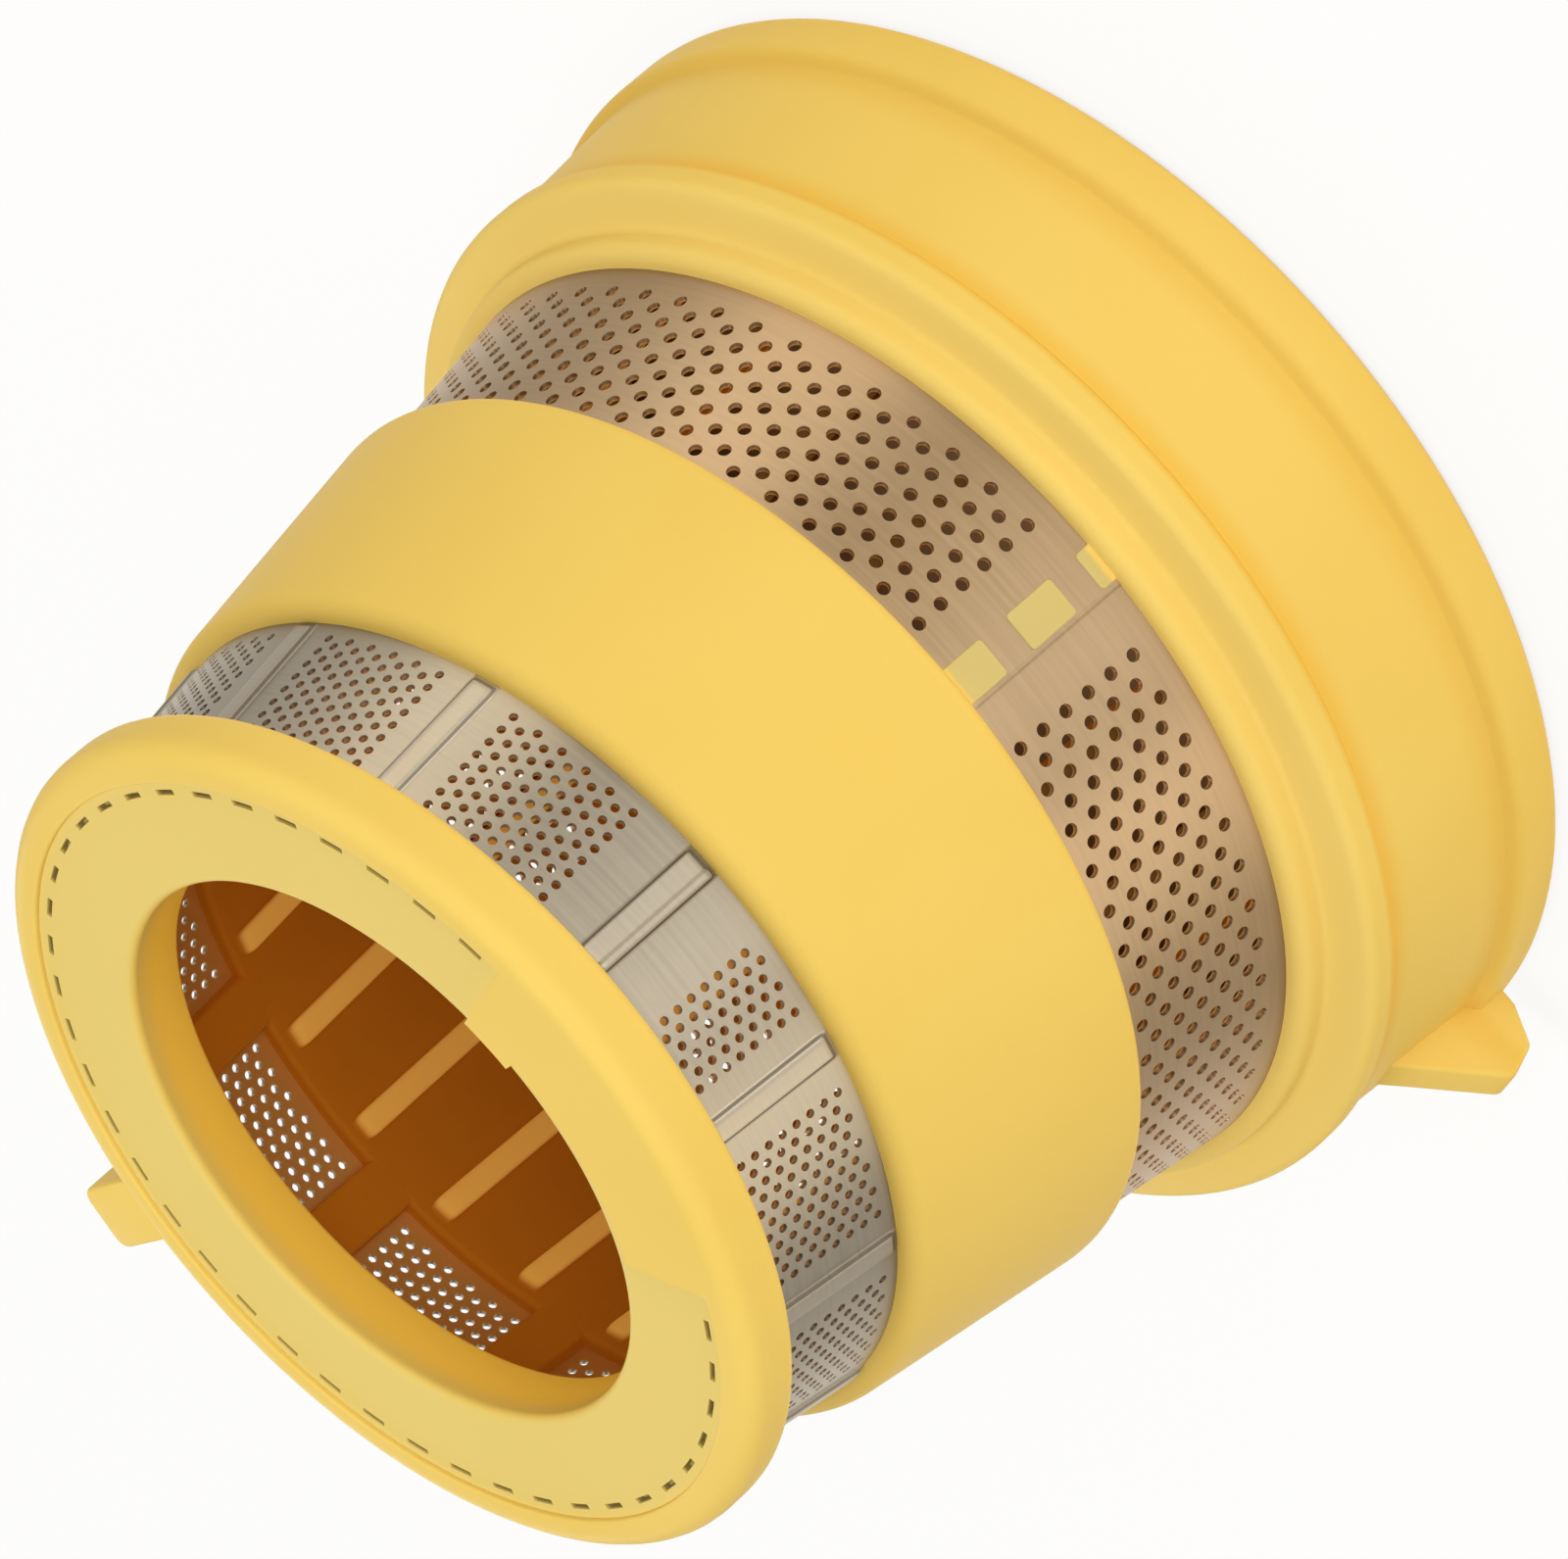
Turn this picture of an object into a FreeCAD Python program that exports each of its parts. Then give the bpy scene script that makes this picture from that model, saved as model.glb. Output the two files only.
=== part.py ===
import FreeCAD, Part
import math
import os

os.makedirs("parts", exist_ok=True)
Vec = FreeCAD.Vector
AXIS = Vec(0, 0, 1)

# Millimetres. The strainer stands on its wide mouth, the narrow foot is up, the axis is Z.

# The whole strainer
HEIGHT = 86.0               # from the mouth plane to the foot's face
LIP_R = 52.0                # lip of the wide mouth
FOOT_R = 39.3               # flange of the narrow foot

# Steel sheets
SHEET = 0.5                 # thickness of the steel
GRIP = 3.0                  # how deep a sheet's edge is moulded into the plastic
FIT = 0.05                  # play between the steel and the groove that holds it
BACKING = 1.5               # plastic behind a sheet

# Heights of the parts of the frame, from the mouth up and from the foot down
RIM_H, COARSE_H = 26.4, 16.2
FOOT_H, FINE_H = 5.9, 12.7
RIM_TOP = RIM_H
BAND_BOTTOM = RIM_TOP + COARSE_H
FOOT_BOTTOM = HEIGHT - FOOT_H
BAND_TOP = FOOT_BOTTOM - FINE_H

# Rim and step ring
LIP_W, LIP_H = 3.6, 5.4
RIM_WALL = 1.5
BEAD_PROUD, BEAD_H = 0.7, 2.6
COLLAR_H, LEDGE_H, LEDGE_SLOPE = 3.5, 3.9, 5.0
MOUTH_R = LIP_R - LIP_W
WALL_R = MOUTH_R + RIM_WALL
BEAD_R = WALL_R + BEAD_PROUD
BEAD_TOP = RIM_TOP - COLLAR_H
BEAD_BOTTOM = BEAD_TOP - BEAD_H
LEDGE_Z = RIM_TOP - LEDGE_H
MOUTH_DEPTH = LEDGE_Z - LEDGE_SLOPE

# The cone that both sheets lie on runs from inside the rim's wall to inside the foot's flange
CONE_INSET, FOOT_INSET = 1.45, 3.75
CONE_R = WALL_R - CONE_INSET
TAPER = (CONE_R - FOOT_R + FOOT_INSET) / HEIGHT
BAND_PROUD = 1.8            # how far the band and the collar stand out from the cone

# Foot ring
HOLE_R, HOLE_WALL, HOLE_DEPTH = 26.0, 2.2, 5.7
FLANGE_W, FOOT_WALL, WEB = 3.4, 5.9, 2.4
RECESS = 0.5
RECESS_R = FOOT_R - FLANGE_W
FOOT_INNER_R = FOOT_R - FOOT_WALL
LAND_FROM, LAND_TO, LAND_EDGE, TONGUE_DEG = 226.0, 276.6, 1.7, 10.4
LAND_R = HOLE_R + LAND_EDGE
SLOTS, SLOT_AT, SLOT_GAP = 46, -0.3, 0.9
SLOT_L, SLOT_W, SLOT_D = 2.0, 0.5, 0.7

# Bars behind the fine sheet and ribs that run down behind the coarse one
BARS, BAR_AT, BAR_W = 12, 4.0, 4.9
RIBS, RIB_W, RIB_PROUD, RIB_FOOT = 24, 2.3, 0.7, 5.4
RIB_BOTTOM = RIM_TOP - RIB_FOOT

# Plugs that come through the seam of the coarse sheet
SEAM_AT, SEAM_W, SEAM_BARE = 266.0, 5.0, 7.0
PLUG_W, PLUG_H, PLUG_SINK = 3.5, 4.9, 0.9
PLUGS, PLUG_PITCH, PLUG_PROUD = 3, 7.7, 0.1

# Lugs
FOOT_LUG_AT, FOOT_LUG_OUT, FOOT_LUG_W, FOOT_LUG_H = 76.0, 5.6, 6.1, 3.6
RIM_LUG_AT, RIM_LUG_OUT, RIM_LUG_W, RIM_LUG_TOP = 187.5, 5.9, 4.0, 16.4
FOOT_LUG_R = FOOT_R + FOOT_LUG_OUT
RIM_LUG_R = LIP_R + RIM_LUG_OUT

# Pressed ridges and holes of the sheets, with plain strips at the seams
RIDGE_W, RIDGE_PROUD, RIDGE_GAP = 2.6, 0.35, 0.5
FINE_SEAM_AT, FINE_SEAM_W, FINE_BARE = 270.2, 3.2, 8.5
FINE_HOLE, FINE_ROWS = 0.9, (3, 4, 3)
COARSE_HOLE, COARSE_ROWS = 1.2, (2, 1, 2)


def cone(z, offset=0.0):
    """Radius of the sheets' outer surface at height z, moved out by offset."""
    return CONE_R - TAPER * z + offset


def behind(z):
    """Radius of the frame's inner face behind the sheets."""
    return cone(z, -SHEET - BACKING)


def face(corners):
    """Closed flat face through (point, rounding) corners."""
    n = len(corners)
    arcs, ends = [], []
    for i in range(n):
        p, q = corners[i]
        u = (corners[i - 1][0] - p).normalize()
        v = (corners[(i + 1) % n][0] - p).normalize()
        half = u.getAngle(v) / 2
        reach = q / math.tan(half)
        a, b = p + u * reach, p + v * reach
        if q > 0:
            mid = p + (u + v).normalize() * (q / math.sin(half) - q)
            arcs.append(Part.Arc(a, mid, b).toShape())
        else:
            arcs.append(None)
        ends.append((a, b))
    edges = []
    for i in range(n):
        if arcs[i] is not None:
            edges.append(arcs[i])
        a, b = ends[i][1], ends[(i + 1) % n][0]
        if a.distanceToPoint(b) > 1e-6:
            edges.append(Part.makeLine(a, b))
    return Part.Face(Part.Wire(edges))


def section(corners):
    """Face in the XZ plane from (radius, height, rounding) corners."""
    return face([(Vec(r, 0, z), q) for r, z, q in corners])


def turned(corners, start=0.0, sweep=360.0):
    """Solid swept round the axis."""
    solid = section(corners).revolve(Vec(0, 0, 0), AXIS, sweep)
    solid.rotate(Vec(0, 0, 0), AXIS, start)
    return solid


def plate(corners, width, at):
    """Upright plate in the radial plane at an angle, width across."""
    f = section(corners)
    f.translate(Vec(0, -width / 2, 0))
    solid = f.extrude(Vec(0, width, 0))
    solid.rotate(Vec(0, 0, 0), AXIS, at)
    return solid


def rim():
    """Mouth with its lip, the slightly flared wall and the two-tier step ring."""
    collar = cone(RIM_TOP, BAND_PROUD)
    return turned([
        (MOUTH_R, 0, 0.5), (LIP_R, 0, 1.6), (LIP_R, LIP_H, 1.2), (WALL_R + 1.0, LIP_H + 0.8, 0.4),
        (WALL_R, BEAD_BOTTOM - 0.5, 0.3), (BEAD_R, BEAD_BOTTOM, 0.4), (BEAD_R, BEAD_TOP, 1.3),
        (collar, BEAD_TOP + 0.8, 0.7), (collar, RIM_TOP, 1.4), (behind(RIM_TOP), RIM_TOP, 0.4),
        (behind(LEDGE_Z), LEDGE_Z, 0.8), (MOUTH_R, MOUTH_DEPTH, 1.0)])


def middle_band():
    """Conical band between the sheets with rounded ends."""
    return turned([
        (behind(BAND_BOTTOM), BAND_BOTTOM, 0.5), (cone(BAND_BOTTOM, BAND_PROUD), BAND_BOTTOM, 1.7),
        (cone(BAND_TOP, BAND_PROUD), BAND_TOP, 1.75), (behind(BAND_TOP), BAND_TOP, 0.5)])


def foot_ring():
    """Foot with a rounded flange, a shallow recess in its face and a collar round the hole."""
    floor = HEIGHT - RECESS
    under = floor - WEB
    collar = HOLE_R + HOLE_WALL
    return turned([
        (HOLE_R, floor, 0.8), (RECESS_R, floor, 0), (RECESS_R, HEIGHT, 0.3), (FOOT_R, HEIGHT, 2.2),
        (FOOT_R, FOOT_BOTTOM, 1.9), (FOOT_INNER_R, FOOT_BOTTOM, 0.5), (FOOT_INNER_R, under, 0.5),
        (collar, under, 0.6), (collar, floor - HOLE_DEPTH, 0.5), (HOLE_R, floor - HOLE_DEPTH, 0.5)])


def land():
    """Raised sector of the foot's face with a tongue that reaches the hole."""
    low, out = HEIGHT - RECESS - 0.5, RECESS_R + 0.6
    ring = [(LAND_R, low, 0), (out, low, 0), (out, HEIGHT, 0), (LAND_R, HEIGHT, 0)]
    tongue = [(HOLE_R, low - 0.5, 0), (LAND_R + 0.5, low - 0.5, 0), (LAND_R + 0.5, HEIGHT, 0),
              (HOLE_R, HEIGHT, 0.4)]
    return [turned(ring, LAND_FROM, LAND_TO - LAND_FROM),
            turned(tongue, LAND_TO - TONGUE_DEG, TONGUE_DEG)]


def slots():
    """Short slots in the floor of the recess near its outer edge, left out on the land."""
    cuts = []
    pitch = 360.0 / SLOTS
    for k in range(SLOTS):
        at = SLOT_AT + k * pitch
        if LAND_FROM - pitch / 2 < at < LAND_TO + pitch / 2:
            continue
        box = Part.makeBox(SLOT_W, SLOT_L, SLOT_D + 0.2)
        box.translate(Vec(RECESS_R - SLOT_GAP - SLOT_W, -SLOT_L / 2, HEIGHT - RECESS - SLOT_D))
        box.rotate(Vec(0, 0, 0), AXIS, at)
        cuts.append(box)
    return cuts


def bars():
    """Bars behind the fine sheet that tie the foot ring to the middle band."""
    low, top = BAND_TOP - 1.5, FOOT_BOTTOM + 1.0
    strip = [(behind(low), low, 0), (cone(low, -SHEET / 2), low, 0),
             (cone(top, -SHEET / 2), top, 0), (behind(top), top, 0)]
    return [plate(strip, BAR_W, BAR_AT + 360.0 / BARS * k) for k in range(BARS)]


def ribs():
    """Ribs down the inside of the middle band and behind the coarse sheet to the step ring."""
    top = BAND_TOP - 0.6
    pitch = 360.0 / RIBS
    crest = -SHEET - BACKING - RIB_PROUD
    strip = [(cone(RIB_BOTTOM, crest), RIB_BOTTOM, 0), (cone(RIB_BOTTOM, -SHEET / 2), RIB_BOTTOM, 0),
             (cone(top, -SHEET / 2), top, 0), (cone(top, crest), top, 1.4)]
    return [plate(strip, RIB_W, BAR_AT + pitch * (k + 0.5)) for k in range(RIBS)]


def seam_bar():
    """Wider bar behind the seam of the coarse sheet, which carries the plugs."""
    low, top = RIM_TOP - 1.0, BAND_BOTTOM + 1.0
    strip = [(behind(low), low, 0), (cone(low, -SHEET / 2), low, 0),
             (cone(top, -SHEET / 2), top, 0), (behind(top), top, 0)]
    return plate(strip, SEAM_W, SEAM_AT)


def plugs(play=0.0):
    """Rectangular plugs through the coarse sheet's seam; with play they are the slots for them."""
    made = []
    for k in range(PLUGS):
        z = RIM_TOP - PLUG_SINK + PLUG_PITCH * k
        a, b = z - PLUG_H / 2 - play, z + PLUG_H / 2 + play
        strip = [(cone(a, -SHEET - 0.6), a, 0), (cone(a, PLUG_PROUD), a, 0),
                 (cone(b, PLUG_PROUD), b, 0), (cone(b, -SHEET - 0.6), b, 0)]
        made.append(plate(strip, PLUG_W + 2 * play, SEAM_AT))
    return made


def foot_lug():
    """Square lug that stands out from the foot ring."""
    w = FOOT_LUG_W / 2
    z = HEIGHT - 0.1 - FOOT_LUG_H
    plan = face([(Vec(FOOT_R - 3.0, -w, z), 0), (Vec(FOOT_LUG_R, -w, z), 1.2),
                 (Vec(FOOT_LUG_R, w, z), 1.2), (Vec(FOOT_R - 3.0, w, z), 0)])
    lug = plan.extrude(Vec(0, 0, FOOT_LUG_H))
    lug.rotate(Vec(0, 0, 0), AXIS, FOOT_LUG_AT)
    return lug


def rim_lug():
    """Triangular fin on the rim's wall."""
    root = WALL_R - 1.0
    return plate([(root, 2.0, 0), (RIM_LUG_R - 4.4, 2.4, 0.6), (RIM_LUG_R - 1.0, 4.2, 1.0),
                  (RIM_LUG_R, 7.6, 1.0), (root, RIM_LUG_TOP, 0)], RIM_LUG_W, RIM_LUG_AT)


def blank(low, top, play=0.0):
    """Conical steel sheet between two heights; with play it is the groove that takes the sheet."""
    low, top = low - GRIP - play, top + GRIP + play
    inner = -SHEET - play
    return turned([(cone(low, inner), low, 0), (cone(low, play), low, 0),
                   (cone(top, play), top, 0), (cone(top, inner), top, 0)])


def hole(size, z, at):
    """Six-sided punch through a sheet."""
    r = cone(z)
    ring = [Vec(r - 2, size * math.cos(math.radians(60 * k + 30)), z + size * math.sin(math.radians(60 * k + 30)))
            for k in range(7)]
    punch = Part.Face(Part.makePolygon(ring)).extrude(Vec(4, 0, 0))
    punch.rotate(Vec(0, 0, 0), AXIS, at)
    return punch


def apart(a, b):
    """Angle between two directions round the axis."""
    return abs((a - b + 180.0) % 360.0 - 180.0)


def punches(size, low, top, panels, first, clear, columns, seam, bare):
    """Staggered punches in equal panels, none within bare of the seam; columns lists the holes in each column."""
    made = []
    pitch = 360.0 / panels
    span = pitch - 2 * clear
    step = (top - low) / (max(columns) + 0.6)
    for p in range(panels):
        for c, count in enumerate(columns):
            at = first + pitch * p + clear + span * (c + 0.5) / len(columns)
            if apart(at, seam) < bare:
                continue
            for k in range(count):
                z = (low + top) / 2 + (k - (count - 1) / 2) * step
                made.append(hole(size, z, at))
    return made


def ridges():
    """Pressed ridges in front of the bars; the one nearest to the seam is the seam's own wider lap."""
    low, top = BAND_TOP + RIDGE_GAP, FOOT_BOTTOM - RIDGE_GAP
    strip = [(cone(low, -SHEET / 2), low, 0), (cone(low, RIDGE_PROUD), low, 0),
             (cone(top, RIDGE_PROUD), top, 0), (cone(top, -SHEET / 2), top, 0)]
    places = [BAR_AT + 360.0 / BARS * k for k in range(BARS)]
    plain = [plate(strip, RIDGE_W, at) for at in places if apart(at, FINE_SEAM_AT) > FINE_BARE]
    return plain + [plate(strip, FINE_SEAM_W, FINE_SEAM_AT)]


def fine_sheet():
    """Fine screen with pressed ridges in front of the bars."""
    clear = math.degrees(BAR_W / 2 / cone(BAND_TOP)) + 1.0
    holes = punches(FINE_HOLE, BAND_TOP, FOOT_BOTTOM, BARS, BAR_AT, clear, FINE_ROWS, FINE_SEAM_AT, FINE_BARE)
    solid = blank(BAND_TOP, FOOT_BOTTOM).fuse(ridges()).removeSplitter()
    return solid.cut(Part.makeCompound(holes))


def coarse_sheet():
    """Coarse screen, slotted along its seam for the plugs."""
    pitch = 360.0 / RIBS
    clear = math.degrees(SEAM_W / 2 / cone(RIM_TOP)) + 0.2
    holes = punches(COARSE_HOLE, RIM_TOP, BAND_BOTTOM, RIBS, BAR_AT + pitch / 2, clear, COARSE_ROWS,
                    SEAM_AT, SEAM_BARE)
    return blank(RIM_TOP, BAND_BOTTOM).cut(plugs(FIT)).cut(Part.makeCompound(holes))


def frame():
    """The yellow moulding in one piece, with room for the steel."""
    body = rim().fuse([middle_band(), foot_ring(), foot_lug(), rim_lug(), seam_bar()] + land() + bars() + ribs())
    grooves = [blank(BAND_TOP, FOOT_BOTTOM, FIT), blank(RIM_TOP, BAND_BOTTOM, FIT).cut(plugs())]
    return body.fuse(plugs()).cut(grooves).cut(slots())


for node, shape in (("frame", frame()), ("fine_screen", fine_sheet()), ("coarse_screen", coarse_sheet())):
    print(node, len(shape.Solids), "solid,", round(shape.Volume), "mm3, valid", shape.isValid())
    shape.Solids[0].exportStep("parts/" + node + ".step")
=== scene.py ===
# %% [markdown]
# # The mesh screen of a slow juicer
# The object is one yellow moulding that holds two bands of perforated steel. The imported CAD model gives
# the frame that everything is placed in: the strainer stands on its wide mouth at height 0, its axis is Z,
# and the narrow foot is up. This lesson rebuilds the surfaces finely enough to be looked at closely.

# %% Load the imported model
import math

import bmesh
import bpy
import numpy as np
from mathutils import Matrix, Vector


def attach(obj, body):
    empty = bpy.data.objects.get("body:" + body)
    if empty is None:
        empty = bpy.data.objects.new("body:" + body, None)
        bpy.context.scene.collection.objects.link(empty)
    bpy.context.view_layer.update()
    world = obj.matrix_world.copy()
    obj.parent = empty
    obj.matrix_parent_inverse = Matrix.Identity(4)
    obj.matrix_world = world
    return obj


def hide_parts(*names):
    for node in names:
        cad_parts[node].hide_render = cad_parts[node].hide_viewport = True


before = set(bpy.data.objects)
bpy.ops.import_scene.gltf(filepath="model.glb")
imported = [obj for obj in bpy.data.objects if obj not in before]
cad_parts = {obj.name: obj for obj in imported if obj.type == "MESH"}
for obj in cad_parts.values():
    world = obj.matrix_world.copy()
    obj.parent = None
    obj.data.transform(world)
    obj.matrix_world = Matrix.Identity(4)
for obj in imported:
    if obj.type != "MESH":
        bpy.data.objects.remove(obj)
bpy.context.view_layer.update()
MM = 0.001
print("CAD nodes:", sorted(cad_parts))

# %% [markdown]
# ## Sizes
# The steel bands lie on one cone. Every ring of the moulding is placed by its height above the mouth and
# by how far it stands out from that cone, so a few named sizes describe the whole strainer.

# %% Sizes in millimetres and degrees
CONE_R, TAPER, SHEET, GRIP, BACKING = 48.45, 0.15, 0.5, 3.0, 1.5
HEIGHT, RIM_TOP, BAND_BOTTOM, BAND_TOP, FOOT_BOTTOM = 86.0, 26.4, 42.6, 67.4, 80.1
MOUTH_R, MOUTH_DEPTH, LIP_R, LIP_H, WALL_R = 48.4, 17.5, 52.0, 5.4, 49.9
BEAD_R, BEAD_BOTTOM, BEAD_TOP, COLLAR_R, LEDGE_Z = 50.6, 20.3, 22.9, 46.3, 22.5
BAND_PROUD = 1.8
HOLE_R, HOLE_WALL, HOLE_DEPTH, FOOT_R, FOOT_INNER_R, WEB = 26.0, 2.2, 5.7, 39.3, 33.4, 2.4
RECESS_R, RECESS, LAND_FROM, LAND_TO, LAND_R, TONGUE_DEG = 35.9, 0.5, 226.0, 276.6, 27.7, 10.4
SLOTS, SLOT_AT, SLOT_GAP, SLOT_L, SLOT_W, SLOT_D = 46, -0.3, 0.9, 2.2, 0.4, 0.7
BARS, BAR_AT, BAR_W, RIBS, RIB_W, RIB_PROUD, RIB_BOTTOM = 12, 4.0, 4.9, 24, 2.3, 0.7, 21.0
SEAM_AT, SEAM_W, PLUG_W, PLUG_H = 266.0, 5.0, 3.5, 4.9
PLUG_Z, PLUG_PITCH, PLUGS, PLUG_PROUD = 25.5, 7.7, 3, 0.1
FOOT_LUG_AT, FOOT_LUG_R, FOOT_LUG_W, FOOT_LUG_H = 76.0, 44.9, 6.1, 3.6
RIM_LUG_AT, RIM_LUG_R, RIM_LUG_W = 187.5, 57.9, 4.0
RIDGE_W, RIDGE_PROUD = 2.6, 0.35


def cone(z, offset=0.0):
    """Radius of the sheets' outer face: a straight line that narrows with height z, moved out by offset."""
    return CONE_R - TAPER * np.asarray(z, float) + offset


def behind(z):
    """Radius of the moulding's inner face: the cone less the steel and the plastic behind it."""
    return cone(z, -SHEET - BACKING)


print("cone radius at the mouth and at the foot:", float(cone(0)), float(cone(HEIGHT)))

# %% [markdown]
# ## From arrays to meshes
# A shell is an array of points and a list of faces. A grid of points becomes quads by simple index sums,
# and several shells join into one mesh by shifting their indices. Points could also be added one by one, but
# whole arrays are quicker and shorter to write. Blender then turns all faces outwards and keeps edges sharp
# only where two faces meet at a clear angle.


# %% Grid and mesh helpers
def grid_faces(rows, cols, wrap_rows=False, wrap_cols=False):
    """Quads (i, j), (i, j+1), (i+1, j+1), (i+1, j); a wrapped direction joins its last line to its first."""
    i = np.arange(rows if wrap_rows else rows - 1)[:, None]
    j = np.arange(cols if wrap_cols else cols - 1)[None, :]
    i2, j2 = (i + 1) % rows, (j + 1) % cols
    corners = np.broadcast_arrays(i * cols + j, i * cols + j2, i2 * cols + j2, i2 * cols + j)
    return np.stack(corners, -1).reshape(-1, 4)


def join(shells):
    """One shell from many: each shell's face numbers move up by the points before it."""
    points, faces, start = [], [], 0
    for p, f in shells:
        points.append(p)
        if isinstance(f, np.ndarray):
            faces += (f + start).tolist()
        else:
            faces += [[int(i) + start for i in q] for q in f]
        start += len(p)
    return np.concatenate(points), faces


def make_piece(name, shells, sharp_deg):
    """Mesh object from shells in millimetres: doubles merged, faces turned outwards, smooth shading but for
    sharp edges."""
    points, faces = join(shells)
    mesh = bpy.data.meshes.new(name)
    mesh.from_pydata((points * MM).tolist(), [], faces)
    bm = bmesh.new()
    bm.from_mesh(mesh)
    bmesh.ops.remove_doubles(bm, verts=bm.verts, dist=2e-6)
    bmesh.ops.recalc_face_normals(bm, faces=bm.faces)
    bm.to_mesh(mesh)
    bm.free()
    mesh.polygons.foreach_set("use_smooth", np.ones(len(mesh.polygons), bool))
    mesh.set_sharp_from_angle(angle=math.radians(sharp_deg))
    mesh.update()
    piece = bpy.data.objects.new(name, mesh)
    bpy.context.scene.collection.objects.link(piece)
    triangles = sum(len(p.vertices) - 2 for p in mesh.polygons)
    print(name, len(mesh.vertices), "points,", triangles, "triangles")
    return piece


print("mesh helpers ready")

# %% [markdown]
# ## Outlines with rounded corners
# Moulded plastic has no knife edges. Each section is listed by its corners, and every corner is replaced
# by a circle arc that touches both sides. Long straight stretches get extra points, because smooth shading
# spreads a corner's turn over the whole of the next face.


# %% Rounded outlines
def rounded(corners, steps=6):
    """Closed outline through (x, y, q) corners. The arc of radius q has its centre on the corner's bisector,
    q / sin(half angle) away, and its points swing evenly from one tangent point to the other."""
    at = np.array([c[:2] for c in corners], float)
    out = []
    for k, (_, _, q) in enumerate(corners):
        u, v = at[k - 1] - at[k], at[(k + 1) % len(at)] - at[k]
        u, v = u / np.linalg.norm(u), v / np.linalg.norm(v)
        half = math.acos(np.clip(u @ v, -1, 1)) / 2
        if q == 0:
            out.append(at[k][None])
            continue
        middle = at[k] + (u + v) / np.linalg.norm(u + v) * q / math.sin(half)
        a, b = at[k] + u * q / math.tan(half) - middle, at[k] + v * q / math.tan(half) - middle
        swing = math.pi - 2 * half
        t = np.linspace(0, 1, steps)[:, None]
        out.append(middle + (np.sin((1 - t) * swing) * a + np.sin(t * swing) * b) / math.sin(swing))
    return np.concatenate(out)


def filled(outline, longest, start=0):
    """The same closed outline, with every stretch past start that is longer than the limit cut into equal
    parts."""
    after = np.roll(outline, -1, axis=0)
    parts = np.maximum(1, np.ceil(np.linalg.norm(after - outline, axis=1) / longest)).astype(int)
    parts[:start] = 1
    own = np.repeat(np.arange(len(outline)), parts)
    part = np.arange(len(own)) - np.repeat(np.cumsum(parts) - parts, parts)
    t = (part / parts[own])[:, None]
    return outline[own] * (1 - t) + after[own] * t


def turned(outline, angles):
    """Surface of revolution: outline point (r, z) at angle a lies at (r cos a, r sin a, z)."""
    a = np.radians(angles)[:, None]
    r, z = outline[:, 0], outline[:, 1]
    points = np.stack([r * np.cos(a), r * np.sin(a), z + 0 * a], -1).reshape(-1, 3)
    return points, grid_faces(len(angles), len(outline), True, True)


ROUND = np.arange(0, 360, 1.25)
print("directions round the axis:", len(ROUND))

# %% [markdown]
# ## Rim and middle band
# The wide end has a lip, a wall that flares a little, and a step ring of two tiers: a bead at the edge of
# the shoulder and a collar that grips the steel. The band between the screens is a plain cone with softly
# rounded ends. A Screw modifier could turn their sections, but a sweep in numpy takes its sizes straight from
# the names above and leaves nothing live on the mesh.


# %% Rim and band
rim_section = filled(rounded([
    (MOUTH_R, 0, 0.5), (LIP_R, 0, 1.6), (LIP_R, LIP_H, 1.2), (WALL_R + 1.0, LIP_H + 0.8, 0.4),
    (WALL_R, BEAD_BOTTOM - 0.5, 0.3), (BEAD_R, BEAD_BOTTOM, 0.4), (BEAD_R, BEAD_TOP, 1.3),
    (COLLAR_R, BEAD_TOP + 0.8, 0.7), (COLLAR_R, RIM_TOP, 1.4), (behind(RIM_TOP), RIM_TOP, 0.4),
    (behind(LEDGE_Z), LEDGE_Z, 0.8), (MOUTH_R, MOUTH_DEPTH, 1.0)]), 2.0)
band_section = filled(rounded([
    (behind(BAND_BOTTOM), BAND_BOTTOM, 0.5), (cone(BAND_BOTTOM, BAND_PROUD), BAND_BOTTOM, 1.7),
    (cone(BAND_TOP, BAND_PROUD), BAND_TOP, 1.75), (behind(BAND_TOP), BAND_TOP, 0.5)], 8), 2.0)
rim = turned(rim_section, ROUND)
band = turned(band_section, ROUND)
print("rim and band faces:", len(rim[1]), len(band[1]))

# %% [markdown]
# ## Foot ring
# The foot is also a swept section, but its face changes with the angle: a shallow recess, a raised land on
# one side with a tongue that reaches the hole, and a ring of short slots near the recess's outer edge.
# Boolean cuts would leave long thin faces round every slot. So the face is a height over (radius, angle), and
# the grid has lines just before and after every step.


# %% Foot ring
STEP_DEG, STEP_MM, ARC = 0.1, 0.06, 7
FACE_LINES = [29.5, 31.5, 33.2]


def between(angle, low, high):
    """1 inside an angle range, 0 outside, with a short straight ramp at both ends."""
    away = np.abs((angle - (low + high) / 2 + 180) % 360 - 180) - (high - low) / 2
    return np.interp(away, [-STEP_DEG, STEP_DEG], [1, 0])


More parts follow.
